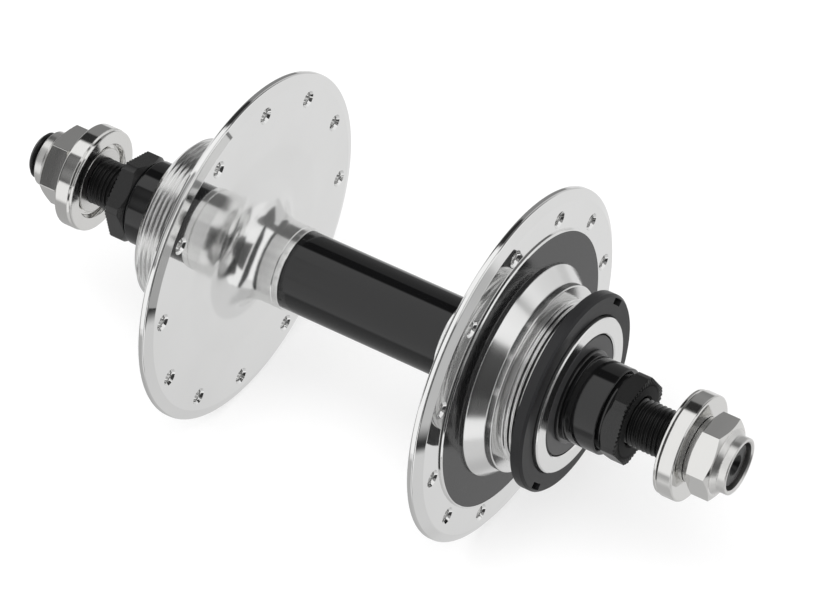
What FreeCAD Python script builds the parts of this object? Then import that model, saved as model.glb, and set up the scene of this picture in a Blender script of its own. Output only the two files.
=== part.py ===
import FreeCAD, Part
import math
import os

from FreeCAD import Vector

# A rear track hub with two high flanges, a threaded axle and captive-washer axle nuts.
# The axle lies along Y, the drive side is at -Y, +Z is up and the origin is the hub's centre.
# All lengths are millimetres. A name that ends in _at is a distance from the centre plane,
# measured outwards along the axle. Angles are degrees, from +Z towards -X.

SIDES = {"drive": -1, "left": 1}
CENTRE = Vector(0, 0, 0)
AXLE_LINE = Vector(0, 1, 0)

# Clearances between mating pieces
press_gap = 0.01
slip_gap = 0.02
thread_gap = 0.05
running_gap = 0.08
washer_play = 0.12

# Flanges. The spoke circle clears the pad by the land, and the rim lies outside the circle.
flange_inner_at = 29.85
flange_thickness = 3.15
rim_inner_chamfer_width = 0.75
rim_inner_chamfer_depth = 2.3
rim_outer_chamfer_width = 1.2
rim_outer_chamfer_depth = 2.0
rim_round = 0.5
spoke_land = 0.65
spoke_to_rim = 5.45
spoke_hole_count = 12
spoke_hole_diameter = 2.6
spoke_countersink_diameter = 3.7
spoke_angle = {"drive": 4.5, "left": 19.5}

# Collar at each end of the centre tube, and the hollow flare from it to the flange's inner face
collar_radius = 8.8
collar_end_at = 18.4
collar_line_at = 19.8
collar_line_size = 0.15
flare_radius = 7.0
edge_round = 0.2

# Centre tube
tube_radius = 8.4
tube_wall = 1.3
tube_end_at = 27.0
tube_stop_wall = 4.0
tube_stop_radius = 7.1

# Boss outside each flange, up to the shoulder that a cog seats against
boss_base_height = 1.0
boss_cone_length = 3.0
boss_cone_flare = 2.7
boss_top_radius = 19.85
boss_top_length = 1.6
boss_round = 0.25

# Raised pad on the drive flange's outer face, and the black trim ring let into it round the boss
trim_width = 6.75
trim_thickness = 0.3
pad_rim_width = 0.45
pad_height = 0.5
pad_edge_bevel = 0.25

# Cog threads, 1.37 inch by 24 turns per inch, and the smaller lockring thread
inch = 25.4
cog_thread_radius = 1.37 * inch / 2
cog_thread_pitch = inch / 24
cog_thread_groove_width = 0.48
cog_thread_groove_depth = 0.5
thread_relief_width = 0.7
thread_relief_depth = 0.7
drive_cog_thread_length = 4.15
left_cog_thread_length = 7.15
lockring_thread_radius = 16.5
lockring_thread_pitch = 1.0
lockring_thread_depth = 0.5
lockring_thread_groove = 0.8
shell_ring_length = 0.9
shell_ring_chamfer = 0.25
left_end_cone_length = 1.2
left_end_radius = 16.15

# Lockring
lockring_radius = 21.0
lockring_width = 2.55
lockring_back_gap = 0.05
lockring_chamfer = 0.5
lockring_bore_chamfer = 0.35
lockring_slot_inner_radius = 19.0
lockring_slot_outer_radius = 20.35
lockring_slot_width = 3.8
lockring_slot_depth = 1.5
lockring_slot_count = 2
lockring_slot_angle = 130.9

# Cartridge bearings, 10 by 26 by 8
bearing_bore_radius = 5.02
bearing_radius = 13.0
bearing_width = 8.0
bearing_inner_at = 37.0
bearing_corner_round = 0.3
ball_radius = 2.381
ball_count = 7
ball_circle_radius = 9.0
race_play = 0.06
inner_ring_land_radius = 7.25
outer_ring_land_radius = 10.85
seal_step_radius = 11.5
seal_step_depth = 1.1
seal_thickness = 0.8
seal_recess = 0.15
cage_inner_radius = 8.35
cage_outer_radius = 9.75
cage_back = 2.85
cage_front = 1.0
cage_pocket_play = 0.06
shell_lip_radius = 11.0

# Axle and the sleeve that keeps the bearings apart
axle_radius = 5.0
axle_end_at = {"drive": 81.6, "left": 82.2}
axle_thread_pitch = 1.0
axle_thread_depth = 0.55
axle_thread_groove = 0.86
axle_thread_start_at = 51.0
axle_chamfer = 0.7
centre_drill_radius = 2.2
centre_drill_cone = 1.4
centre_drill_hole_radius = 1.1
centre_drill_depth = 3.0
spacer_radius = 6.3

# Dust covers and end caps
cover_radius = 12.75
cover_outer_at = 46.8
cover_thickness = 1.3
cover_seat_radius = 7.4
cover_lip_round = 0.3
cap_nose_radius = 6.85
cap_nose_length = 0.35
cap_flange_radius = 9.9
cap_flange_width = 0.8
cap_radius = 9.1
cap_line_offset = 0.7
cap_line_size = 0.12
cap_neck_radius = 8.0
cap_neck_length = 0.75
cap_round = 0.3

# Locknuts
over_locknuts = 120.0
locknut_thickness = 4.0
locknut_across_flats = 17.0
locknut_corner_radius = 9.4
locknut_face_radius = 9.25
locknut_back_radius = 8.35
locknut_face_chamfer = 0.15
locknut_back_chamfer = 1.0
locknut_serration_count = 60
locknut_serration_inner_radius = 7.5
locknut_serration_depth = 0.28
locknut_serration_width = 0.56
locknut_bore_chamfer = 0.5
locknut_angle = {"drive": 33.1, "left": 10.0}

# Washers and axle nuts, placed by the washer's inner face
washer_at = {"drive": 69.5, "left": 66.9}
washer_radius = 11.15
washer_thickness = 4.2
washer_lip_radius = 10.95
washer_lip_width = 0.55
washer_line_size = 0.15
washer_round = 0.45
washer_bore_radius = 6.3
washer_recess_radius = 8.2
washer_recess_depth = 1.3
nut_neck_radius = 6.15
nut_flare_radius = 7.0
nut_flare_width = 0.55
nut_flare_at = 0.45
nut_collar_radius = 6.9
nut_collar_width = 1.0
nut_across_flats = 15.0
nut_hex_length = 4.8
nut_hex_corner_radius = 8.62
nut_hex_face_radius = 7.3
nut_hex_chamfer = 0.55
nut_boss_radius = 5.95
nut_boss_length = 1.8
nut_cone_length = 1.1
nut_boss_round = 0.4
nut_bore_chamfer = 0.3
nut_angle = {"drive": 17.9, "left": 22.8}

# Places and radii that follow from the sizes above
trim_inner_radius = boss_top_radius + boss_cone_flare
trim_outer_radius = trim_inner_radius + trim_width
pad_radius = trim_outer_radius + pad_rim_width
spoke_circle_radius = pad_radius + spoke_land + spoke_countersink_diameter / 2
flange_radius = spoke_circle_radius + spoke_to_rim
flange_outer_at = flange_inner_at + flange_thickness
flare_reach = flare_radius * (1 - math.tan(math.pi / 8))
pad_face_at = flange_outer_at + pad_height
boss_cone_at = flange_outer_at + boss_base_height
boss_top_at = boss_cone_at + boss_cone_length
cog_shoulder_at = boss_top_at + boss_top_length
cog_thread_at = cog_shoulder_at + thread_relief_width
drive_cog_thread_end_at = cog_thread_at + drive_cog_thread_length
left_cog_thread_end_at = cog_thread_at + left_cog_thread_length
lockring_back_at = drive_cog_thread_end_at + lockring_back_gap
lockring_front_at = lockring_back_at + lockring_width
shell_end_at = {
    "drive": lockring_front_at + shell_ring_length,
    "left": left_cog_thread_end_at + left_end_cone_length,
}
bearing_middle_at = bearing_inner_at + bearing_width / 2
bearing_outer_at = bearing_inner_at + bearing_width
locknut_face_at = over_locknuts / 2
locknut_back_at = locknut_face_at - locknut_thickness
cap_bore_radius = axle_radius + thread_gap
race_radius = ball_radius + race_play
washer_outer_at = {side: at + washer_thickness for side, at in washer_at.items()}
nut_hex_at = {side: at + nut_collar_width + washer_play for side, at in washer_outer_at.items()}


def outwards(angle):
    """Unit vector at an angle about the axle, from +Z towards -X."""
    turn = math.radians(angle)
    return Vector(-math.sin(turn), 0, math.cos(turn))


def rounded_corner(before, corner, after, radius):
    """Points where a round of this radius leaves and meets the two sides, and its middle."""
    back = (before - corner).normalize()
    forth = (after - corner).normalize()
    half = back.getAngle(forth) / 2
    room = 0.45 * min((before - corner).Length, (after - corner).Length)
    reach = min(radius / math.tan(half), room)
    fitted = reach * math.tan(half)
    bisector = (back + forth).normalize()
    middle = corner + bisector * (fitted / math.sin(half) - fitted)
    return corner + back * reach, middle, corner + forth * reach


def turned(points, side=1):
    """Solid of revolution about the axle. Each point is (place, radius) or (place, radius, round)."""
    corners = [Vector(p[1], side * p[0], 0) for p in points]
    rounds = [p[2] if len(p) > 2 else 0 for p in points]
    count = len(corners)
    starts, ends, edges = [], [], []
    for i, corner in enumerate(corners):
        if rounds[i]:
            first, middle, last = rounded_corner(corners[i - 1], corner, corners[(i + 1) % count], rounds[i])
            edges.append((i, Part.Arc(first, middle, last).toShape()))
            starts.append(first)
            ends.append(last)
        else:
            starts.append(corner)
            ends.append(corner)
    for i in range(count):
        edges.append((i + 0.5, Part.LineSegment(ends[i], starts[(i + 1) % count]).toShape()))
    wire = Part.Wire([edge for _, edge in sorted(edges, key=lambda item: item[0])])
    solid = Part.Face(wire).revolve(CENTRE, AXLE_LINE, 360)
    if solid.Volume < 0:
        solid.reverse()
    return solid


def ring(inner, outer, start, end, side=1):
    """Plain ring between two radii."""
    return turned([(start, inner), (start, outer), (end, outer), (end, inner)], side)


def thread_points(start, end, radius, pitch, groove, depth):
    """Profile points of evenly pitched V grooves that end inside the stretch."""
    count = int((end - start) / pitch + 1e-6)
    margin = (end - start - (count - 1) * pitch) / 2
    points = []
    for i in range(count):
        middle = start + margin + i * pitch
        points.append((middle - groove / 2, radius))
        points.append((middle, radius - depth))
        points.append((middle + groove / 2, radius))
    return points


def hexagon(across_flats, start, end, side, angle):
    """Hexagonal bar about the axle, with a corner at the given angle."""
    corner_radius = across_flats / math.sqrt(3)
    base = Vector(0, side * start, 0)
    corners = [base + outwards(angle + 60 * i) * corner_radius for i in range(7)]
    return Part.Face(Part.makePolygon(corners)).extrude(Vector(0, side * (end - start), 0))


def chamfered_hexagon(across_flats, corner_radius, start, end, side, angle, first, last):
    """Hexagonal bar with turned corners and ends. first and last are (face radius, chamfer length)."""
    blank = turned(
        [
            (start, 0),
            (start, first[0]),
            (start + first[1], corner_radius),
            (end - last[1], corner_radius),
            (end, last[0]),
            (end, 0),
        ],
        side,
    )
    return hexagon(across_flats, start, end, side, angle).common(blank).Solids[0]


def spoke_holes(side_name):
    """Cutters for one flange's spoke holes, countersunk on both faces."""
    side = SIDES[side_name]
    hole = spoke_hole_diameter / 2
    sink = spoke_countersink_diameter / 2
    depth = sink - hole
    profile = [
        (flange_inner_at - 1, 0),
        (flange_inner_at - 1, sink + 1),
        (flange_inner_at + depth, hole),
        (flange_outer_at - depth, hole),
        (flange_outer_at + 1, sink + 1),
        (flange_outer_at + 1, 0),
    ]
    cutter = turned(profile, side)
    cutters = []
    for i in range(spoke_hole_count):
        place = outwards(spoke_angle[side_name] + 360 / spoke_hole_count * i) * spoke_circle_radius
        cutters.append(cutter.translated(place))
    return Part.makeCompound(cutters)


def shell_bore(end_at):
    """Inside profile of a shell half, from its outer end back to the tube socket."""
    seat_radius = bearing_radius + press_gap
    socket_radius = tube_radius + press_gap
    return [
        (end_at, seat_radius + shell_ring_chamfer),
        (end_at - shell_ring_chamfer, seat_radius),
        (bearing_inner_at, seat_radius),
        (bearing_inner_at, shell_lip_radius),
        (tube_end_at + tube_stop_wall, shell_lip_radius, 2.0),
        (tube_end_at + tube_stop_wall, tube_stop_radius),
        (tube_end_at, tube_stop_radius),
        (tube_end_at, socket_radius),
        (collar_end_at, socket_radius),
    ]


def shell_start():
    """Outside profile of a shell half, from the collar to the flange's outer face."""
    line = collar_line_size
    return [
        (collar_end_at, collar_radius, edge_round),
        (collar_line_at - line, collar_radius),
        (collar_line_at, collar_radius - line),
        (collar_line_at + line, collar_radius),
        (flange_inner_at - flare_reach, collar_radius, flare_radius),
        (flange_inner_at, collar_radius + flare_reach, flare_radius),
        (flange_inner_at, flange_radius - rim_inner_chamfer_depth, rim_round),
        (flange_inner_at + rim_inner_chamfer_width, flange_radius, rim_round),
        (flange_outer_at - rim_outer_chamfer_width, flange_radius, rim_round),
        (flange_outer_at, flange_radius - rim_outer_chamfer_depth, rim_round),
    ]


def boss_profile():
    """Outside profile of the boss, its cog shoulder and the thread relief."""
    relief_radius = cog_thread_radius - thread_relief_depth
    return [
        (boss_cone_at, trim_inner_radius, boss_round),
        (boss_top_at, boss_top_radius, boss_round),
        (cog_shoulder_at, boss_top_radius, boss_round),
        (cog_shoulder_at, relief_radius),
        (cog_thread_at - thread_relief_depth / 2, relief_radius),
        (cog_thread_at, cog_thread_radius),
    ]


def drive_flange():
    """Drive-side shell half, with a cog thread and a smaller lockring thread."""
    floor_at = pad_face_at - trim_thickness
    pad = [
        (flange_outer_at, pad_radius),
        (pad_face_at - pad_edge_bevel, pad_radius),
        (pad_face_at, pad_radius - pad_edge_bevel),
        (pad_face_at, trim_outer_radius + slip_gap),
        (floor_at, trim_outer_radius + slip_gap),
        (floor_at, trim_inner_radius),
    ]
    cog_thread = thread_points(
        cog_thread_at,
        drive_cog_thread_end_at,
        cog_thread_radius,
        cog_thread_pitch,
        cog_thread_groove_width,
        cog_thread_groove_depth,
    )
    lockring_thread = thread_points(
        drive_cog_thread_end_at,
        lockring_front_at,
        lockring_thread_radius,
        lockring_thread_pitch,
        lockring_thread_groove,
        lockring_thread_depth,
    )
    end_at = shell_end_at["drive"]
    end = [
        (drive_cog_thread_end_at, cog_thread_radius),
        (drive_cog_thread_end_at, lockring_thread_radius),
        *lockring_thread,
        (end_at - shell_ring_chamfer, lockring_thread_radius),
        (end_at, lockring_thread_radius - shell_ring_chamfer),
    ]
    profile = shell_start() + pad + boss_profile() + cog_thread + end + shell_bore(end_at)
    return turned(profile, SIDES["drive"]).cut(spoke_holes("drive")).Solids[0]


def left_flange():
    """Left shell half, with a longer cog or freewheel thread up to its coned end."""
    cog_thread = thread_points(
        cog_thread_at,
        left_cog_thread_end_at,
        cog_thread_radius,
        cog_thread_pitch,
        cog_thread_groove_width,
        cog_thread_groove_depth,
    )
    end_at = shell_end_at["left"]
    face = [(flange_outer_at, trim_inner_radius)]
    end = [(left_cog_thread_end_at, cog_thread_radius), (end_at, left_end_radius, edge_round)]
    profile = shell_start() + face + boss_profile() + cog_thread + end + shell_bore(end_at)
    return turned(profile, SIDES["left"]).cut(spoke_holes("left")).Solids[0]


def centre_tube():
    return ring(tube_radius - tube_wall, tube_radius, -tube_end_at, tube_end_at)


def flange_trim_ring():
    front_at = pad_face_at - slip_gap
    back_at = pad_face_at - trim_thickness
    return ring(trim_inner_radius + slip_gap, trim_outer_radius, back_at, front_at, SIDES["drive"])


def lockring():
    """Flat lockring with two blind spanner slots in its outer face."""
    bore = lockring_thread_radius + thread_gap
    body = turned(
        [
            (lockring_back_at, bore),
            (lockring_back_at, lockring_radius, lockring_chamfer / 2),
            (lockring_front_at - lockring_chamfer, lockring_radius),
            (lockring_front_at, lockring_radius - lockring_chamfer),
            (lockring_front_at, bore + lockring_bore_chamfer),
            (lockring_front_at - lockring_bore_chamfer, bore),
        ],
        SIDES["drive"],
    )
    slots = []
    length = lockring_slot_outer_radius - lockring_slot_inner_radius
    for i in range(lockring_slot_count):
        slot = Part.makeBox(lockring_slot_width, lockring_slot_depth, length)
        corner = Vector(-lockring_slot_width / 2, -lockring_front_at, lockring_slot_inner_radius)
        slot.translate(corner)
        slot.rotate(CENTRE, AXLE_LINE, -(lockring_slot_angle + 360 / lockring_slot_count * i))
        slots.append(slot)
    return body.cut(Part.makeCompound(slots)).Solids[0]


def race(side):
    """Ring-shaped cutter of the balls' running groove."""
    return Part.makeTorus(ball_circle_radius, race_radius, Vector(0, side * bearing_middle_at, 0), AXLE_LINE)


def bearing_outer_ring(side):
    step_at = bearing_inner_at + seal_step_depth
    blank = turned(
        [
            (bearing_inner_at, seal_step_radius),
            (bearing_inner_at, bearing_radius, bearing_corner_round),
            (bearing_outer_at, bearing_radius, bearing_corner_round),
            (bearing_outer_at, seal_step_radius),
            (bearing_outer_at - seal_step_depth, seal_step_radius),
            (bearing_outer_at - seal_step_depth, outer_ring_land_radius),
            (step_at, outer_ring_land_radius),
            (step_at, seal_step_radius),
        ],
        side,
    )
    return blank.cut(race(side)).Solids[0]


def bearing_inner_ring(side):
    blank = turned(
        [
            (bearing_inner_at, bearing_bore_radius),
            (bearing_inner_at, inner_ring_land_radius, bearing_corner_round),
            (bearing_outer_at, inner_ring_land_radius, bearing_corner_round),
            (bearing_outer_at, bearing_bore_radius),
        ],
        side,
    )
    return blank.cut(race(side)).Solids[0]


def ball_centres(side):
    """Where the balls' centres lie, evenly spaced round the axle."""
    middle = Vector(0, side * bearing_middle_at, 0)
    return [middle + outwards(360 / ball_count * i) * ball_circle_radius for i in range(ball_count)]


def bearing_balls(side):
    return Part.makeCompound([Part.makeSphere(ball_radius, centre) for centre in ball_centres(side)])


def bearing_cage(side):
    """Crown cage, with a pocket for each ball that opens outwards."""
    body = ring(
        cage_inner_radius,
        cage_outer_radius,
        bearing_middle_at - cage_back,
        bearing_middle_at + cage_front,
        side,
    )
    pockets = [Part.makeSphere(ball_radius + cage_pocket_play, centre) for centre in ball_centres(side)]
    return body.cut(Part.makeCompound(pockets)).Solids[0]


def bearing_seal(side, face_at, inwards):
    """Rubber seal let into the outer ring. inwards is +1 or -1, along the place axis."""
    start = face_at + inwards * seal_recess
    end = start + inwards * seal_thickness
    inner = inner_ring_land_radius + running_gap
    return ring(inner, seal_step_radius - press_gap, min(start, end), max(start, end), side)


def axle():
    """Threaded axle with chamfered ends and a centre drilling in each."""
    drive_end = -axle_end_at["drive"]
    left_end = axle_end_at["left"]
    shape = (axle_radius, axle_thread_pitch, axle_thread_groove, axle_thread_depth)
    profile = [
        (drive_end, 0),
        (drive_end, axle_radius - axle_chamfer),
        (drive_end + axle_chamfer, axle_radius),
        *thread_points(drive_end + axle_chamfer, -axle_thread_start_at, *shape),
        *thread_points(axle_thread_start_at, left_end - axle_chamfer, *shape),
        (left_end - axle_chamfer, axle_radius),
        (left_end, axle_radius - axle_chamfer),
        (left_end, 0),
    ]
    drills = []
    for name, side in SIDES.items():
        end_at = axle_end_at[name]
        drill = turned(
            [
                (end_at + 1, 0),
                (end_at + 1, centre_drill_radius),
                (end_at, centre_drill_radius),
                (end_at - centre_drill_cone, centre_drill_hole_radius),
                (end_at - centre_drill_depth, centre_drill_hole_radius),
                (end_at - centre_drill_depth, 0),
            ],
            side,
        )
        drills.append(drill)
    return turned(profile).cut(Part.makeCompound(drills)).Solids[0]


def bearing_spacer():
    return ring(axle_radius + slip_gap, spacer_radius, -bearing_inner_at, bearing_inner_at)


def dust_cover(side):
    """Disc that closes the shell's end, seated on the end cap's nose."""
    back_at = cover_outer_at - cover_thickness
    seat = cover_seat_radius + press_gap
    return turned(
        [
            (back_at, seat),
            (back_at, cover_radius),
            (cover_outer_at, cover_radius, cover_lip_round),
            (cover_outer_at, seat),
        ],
        side,
    )


def end_cap(side):
    """Black cap between the bearing and the locknut."""
    flange_end_at = cover_outer_at + cap_flange_width
    neck_at = locknut_back_at - cap_neck_length
    nose_end_at = bearing_outer_at + cap_nose_length
    line_at = flange_end_at + cap_line_offset
    line = cap_line_size
    return turned(
        [
            (bearing_outer_at, cap_bore_radius),
            (bearing_outer_at, cap_nose_radius),
            (nose_end_at, cap_nose_radius),
            (nose_end_at, cover_seat_radius),
            (cover_outer_at, cover_seat_radius),
            (cover_outer_at, cap_flange_radius),
            (flange_end_at, cap_flange_radius, cap_round),
            (flange_end_at, cap_radius),
            (line_at - line, cap_radius),
            (line_at, cap_radius - line),
            (line_at + line, cap_radius),
            (neck_at, cap_radius, cap_round),
            (neck_at, cap_neck_radius),
            (locknut_back_at, cap_neck_radius),
            (locknut_back_at, cap_bore_radius),
        ],
        side,
    )


def serrations(side):
    """Cutters for the radial teeth round the locknut's outer face."""
    half = locknut_serration_width / 2
    face = side * locknut_face_at
    above = side * locknut_serration_depth
    inner = locknut_serration_inner_radius
    length = locknut_across_flats - inner
    corners = [
        Vector(-half * 2, face + above, inner),
        Vector(0, face - above, inner),
        Vector(half * 2, face + above, inner),
    ]
    tooth = Part.Face(Part.makePolygon(corners + corners[:1])).extrude(Vector(0, 0, length))
    teeth = []
    for i in range(locknut_serration_count):
        copy = tooth.copy()
        copy.rotate(CENTRE, AXLE_LINE, 360 / locknut_serration_count * i)
        teeth.append(copy)
    return Part.makeCompound(teeth)


def locknut(side, angle):
    """Thin hexagonal locknut with a serrated outer face."""
    body = chamfered_hexagon(
        locknut_across_flats,
        locknut_corner_radius,
        locknut_back_at,
        locknut_face_at,
        side,
        angle,
        (locknut_back_radius, locknut_back_chamfer),
        (locknut_face_radius, locknut_face_chamfer),
    )
    bore = turned(
        [
            (locknut_back_at - 1, 0),
            (locknut_back_at - 1, cap_bore_radius),
            (locknut_face_at - locknut_bore_chamfer, cap_bore_radius),
            (locknut_face_at + 1, cap_bore_radius + locknut_bore_chamfer + 1),
            (locknut_face_at + 1, 0),
        ],
        side,
    )
    return body.cut(bore).cut(serrations(side)).Solids[0]


def washer(side_name):
    """Thick captive washer, recessed inside for the nut's flared neck."""
    start = washer_at[side_name]
    end = washer_outer_at[side_name]
    lip_end = start + washer_lip_width
    line = washer_line_size
    return turned(
        [
            (start, washer_recess_radius),
            (start, washer_lip_radius, edge_round),
            (lip_end, washer_lip_radius),
            (lip_end + line, washer_lip_radius - line),
            (lip_end + 2 * line, washer_radius - edge_round),
            (lip_end + 2 * line + edge_round, washer_radius, edge_round),
            (end, washer_radius, washer_round),
            (end, washer_bore_radius),
            (start + washer_recess_depth, washer_bore_radius),
            (start + washer_recess_depth, washer_recess_radius - edge_round * 2),
        ],
        SIDES[side_name],
    )


def track_nut(side_name):
    """Axle nut: flared neck through the washer, collar, hexagon, cone and boss."""
    side = SIDES[side_name]
    start = washer_at[side_name] + nut_flare_at
    hex_at = nut_hex_at[side_name]
    collar_at = hex_at - nut_collar_width
    hex_end_at = hex_at + nut_hex_length
    boss_at = hex_end_at + nut_cone_length
    end_at = boss_at + nut_boss_length
    bore = axle_radius + thread_gap
    bar = chamfered_hexagon(
        nut_across_flats,
        nut_hex_corner_radius,
        hex_at,
        hex_end_at,
        side,
        nut_angle[side_name],
        (nut_hex_face_radius, nut_hex_chamfer),
        (nut_hex_face_radius, nut_hex_chamfer),
    )
    core = turned(
        [
            (start, 0),
            (start, nut_flare_radius, nut_flare_width / 3),
            (start + nut_flare_width, nut_flare_radius, nut_flare_width / 3),
            (start + nut_flare_width, nut_neck_radius),
            (collar_at, nut_neck_radius),
            (collar_at, nut_collar_radius),
            (hex_end_at, nut_collar_radius),
            (boss_at, nut_boss_radius, nut_cone_length / 2),
            (end_at, nut_boss_radius, nut_boss_round),
            (end_at, 0),
        ],
        side,
    )
    hole = turned(
        [
            (start - 1, 0),
            (start - 1, bore),
            (end_at - nut_bore_chamfer, bore),
            (end_at + 1, bore + nut_bore_chamfer + 1),
            (end_at + 1, 0),
        ],
        side,
    )
    return bar.fuse(core).cut(hole).removeSplitter().Solids[0]


def all_pieces():
    """Every sub-part of the hub by its node name."""
    pieces = {
        "drive_flange": drive_flange(),
        "left_flange": left_flange(),
        "centre_tube": centre_tube(),
        "flange_trim_ring": flange_trim_ring(),
        "lockring": lockring(),
        "axle": axle(),
        "bearing_spacer": bearing_spacer(),
    }
    for name, side in SIDES.items():
        pieces[name + "_bearing_outer_ring"] = bearing_outer_ring(side)
        pieces[name + "_bearing_inner_ring"] = bearing_inner_ring(side)
        pieces[name + "_bearing_balls"] = bearing_balls(side)
        pieces[name + "_bearing_cage"] = bearing_cage(side)
        pieces[name + "_bearing_inner_seal"] = bearing_seal(side, bearing_inner_at, 1)
        pieces[name + "_bearing_outer_seal"] = bearing_seal(side, bearing_outer_at, -1)
        pieces[name + "_dust_cover"] = dust_cover(side)
        pieces[name + "_end_cap"] = end_cap(side)
        pieces[name + "_locknut"] = locknut(side, locknut_angle[name])
        pieces[name + "_washer"] = washer(name)
        pieces[name + "_track_nut"] = track_nut(name)
    return pieces


os.makedirs("parts", exist_ok=True)
for node, shape in all_pieces().items():
    shape.exportStep("parts/" + node + ".step")
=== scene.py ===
import math

import bmesh
import bpy
import numpy as np
from bpy.props import FloatProperty, FloatVectorProperty, IntProperty, PointerProperty
from bpy.types import Operator, Panel, PropertyGroup
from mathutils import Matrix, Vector


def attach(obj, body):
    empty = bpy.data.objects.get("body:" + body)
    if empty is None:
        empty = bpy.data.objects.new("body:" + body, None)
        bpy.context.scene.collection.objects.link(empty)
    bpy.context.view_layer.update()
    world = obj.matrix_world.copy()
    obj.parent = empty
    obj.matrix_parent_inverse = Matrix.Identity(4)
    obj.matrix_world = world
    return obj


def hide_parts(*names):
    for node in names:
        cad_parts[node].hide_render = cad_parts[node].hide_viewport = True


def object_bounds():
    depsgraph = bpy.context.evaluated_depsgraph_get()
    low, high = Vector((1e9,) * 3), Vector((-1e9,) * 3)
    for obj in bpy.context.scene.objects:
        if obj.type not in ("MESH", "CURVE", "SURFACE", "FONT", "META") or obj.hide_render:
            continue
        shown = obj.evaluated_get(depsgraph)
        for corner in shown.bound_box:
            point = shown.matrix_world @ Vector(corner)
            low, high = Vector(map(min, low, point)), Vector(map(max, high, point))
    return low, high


bl_info = {
    "name": "Track Hub",
    "version": (1, 0, 0),
    "blender": (4, 5, 0),
    "location": "3D Viewport > Sidebar > Track Hub",
    "description": "Turned, threaded and toothed surfaces of a high-flange track hub, with a studio",
    "category": "Add Mesh",
}

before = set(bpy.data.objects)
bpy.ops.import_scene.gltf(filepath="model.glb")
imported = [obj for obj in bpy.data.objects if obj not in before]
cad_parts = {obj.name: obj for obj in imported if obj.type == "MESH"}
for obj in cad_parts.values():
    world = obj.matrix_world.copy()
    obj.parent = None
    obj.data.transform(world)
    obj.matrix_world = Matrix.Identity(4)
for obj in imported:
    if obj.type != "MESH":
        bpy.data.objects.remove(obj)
CAD_BOX = [list(corner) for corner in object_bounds()]

# Lengths in the profile tables are millimetres. A place is a distance from the hub's middle plane
# outwards along the axle. Angles about the axle run from +Z towards -X.
SIDES = {"drive": -1, "left": 1}
MM = 0.001
WELD = 0.001
WELD_SHIFT = 0.00027183
SUPPORT = 0.05


# Profiles and grids


def profile(corners, closed=False):
    """Places, radii and sharp flags of a line through corners (place, radius, round).

    Each round is an arc tangent to both sides, its reach along a side being the round over the
    tangent of half the corner's angle, drawn with chords of about 8 degrees, or 4 on a
    large round. A point just beyond each end of the arc keeps the straight sides shaded straight.
    """
    points = [np.array(c[:2], float) for c in corners]
    rounds = [c[2] if len(c) > 2 else 0.0 for c in corners]
    line, sharp = [], []
    count = len(points)
    for i, here in enumerate(points):
        inner = closed or 0 < i < count - 1
        if not rounds[i] or not inner:
            line.append(here)
            sharp.append(inner)
            continue
        back = points[i - 1] - here
        forth = points[(i + 1) % count] - here
        back_length, forth_length = np.linalg.norm(back), np.linalg.norm(forth)
        back, forth = back / back_length, forth / forth_length
        half = math.acos(max(-1.0, min(1.0, float(back @ forth)))) / 2
        reach = min(rounds[i] / math.tan(half), 0.45 * min(back_length, forth_length))
        radius = reach * math.tan(half)
        bisector = (back + forth) / np.linalg.norm(back + forth)
        middle = here + bisector * radius / math.sin(half)
        first, last = here + back * reach - middle, here + forth * reach - middle
        start = math.atan2(first[1], first[0])
        sweep = (math.atan2(last[1], last[0]) - start + math.pi) % (2 * math.pi) - math.pi
        steps = max(2, math.ceil(abs(math.degrees(sweep)) / (4 if radius > 2 else 8)))
        angles = start + sweep * np.linspace(0, 1, steps + 1)
        arc = middle + radius * np.stack([np.cos(angles), np.sin(angles)], 1)
        lead = arc[0] + back * min(SUPPORT, 0.03 * back_length)
        tail = arc[-1] + forth * min(SUPPORT, 0.03 * forth_length)
        line += [lead, *arc, tail]
        sharp += [False] * (steps + 3)
    line = np.array(line)
    return line[:, 0], line[:, 1], np.array(sharp)


def about_axle(places, radii, angles, side):
    """Grid of points at these radii and angles (radians) about the axle.

    x is minus radius times sine, y is side times place, z is radius times cosine.
    """
    places, radii, angles = np.broadcast_arrays(places, radii, angles)
    return np.stack([-radii * np.sin(angles), side * places, radii * np.cos(angles)], -1)


def even_angles(count, first=0.0):
    """Even steps round a full turn, in radians, from a first angle in degrees."""
    return math.radians(first) + np.linspace(0, 2 * math.pi, count, endpoint=False)


def stacked(parts, count):
    """Rows of several profile parts under each other, spread over count columns."""
    places, radii = [
        np.concatenate(
            [np.broadcast_to(np.reshape(p[i], (len(p[i]), -1)), (len(p[i]), count)) for p in parts]
        )
        for i in (0, 1)
    ]
    return places, radii, np.concatenate([p[2] for p in parts])


def screw(start, end, radius, angles, pitch, depth, width, steps=9):
    """Rows of a screw thread.

    The radius drops along a V whose phase is the place over the pitch less the share of a turn,
    and the V fades in and out over half a turn at both ends of the stretch.
    """
    rows = max(4, int(abs(end - start) / pitch * steps))
    places = np.linspace(start, end, rows)[:, None]
    phase = (places / pitch - angles[None, :] / (2 * math.pi)) % 1.0
    groove = np.clip(1 - np.abs(phase - 0.5) * 2 * pitch / width, 0, 1)
    from_ends = np.minimum(np.abs(places - start), np.abs(places - end)) / (0.5 * pitch)
    fade = np.clip(from_ends, 0, 1) ** 2 * (3 - 2 * np.clip(from_ends, 0, 1))
    return np.broadcast_to(places, groove.shape), radius - depth * groove * fade, np.zeros(rows, bool)


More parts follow.
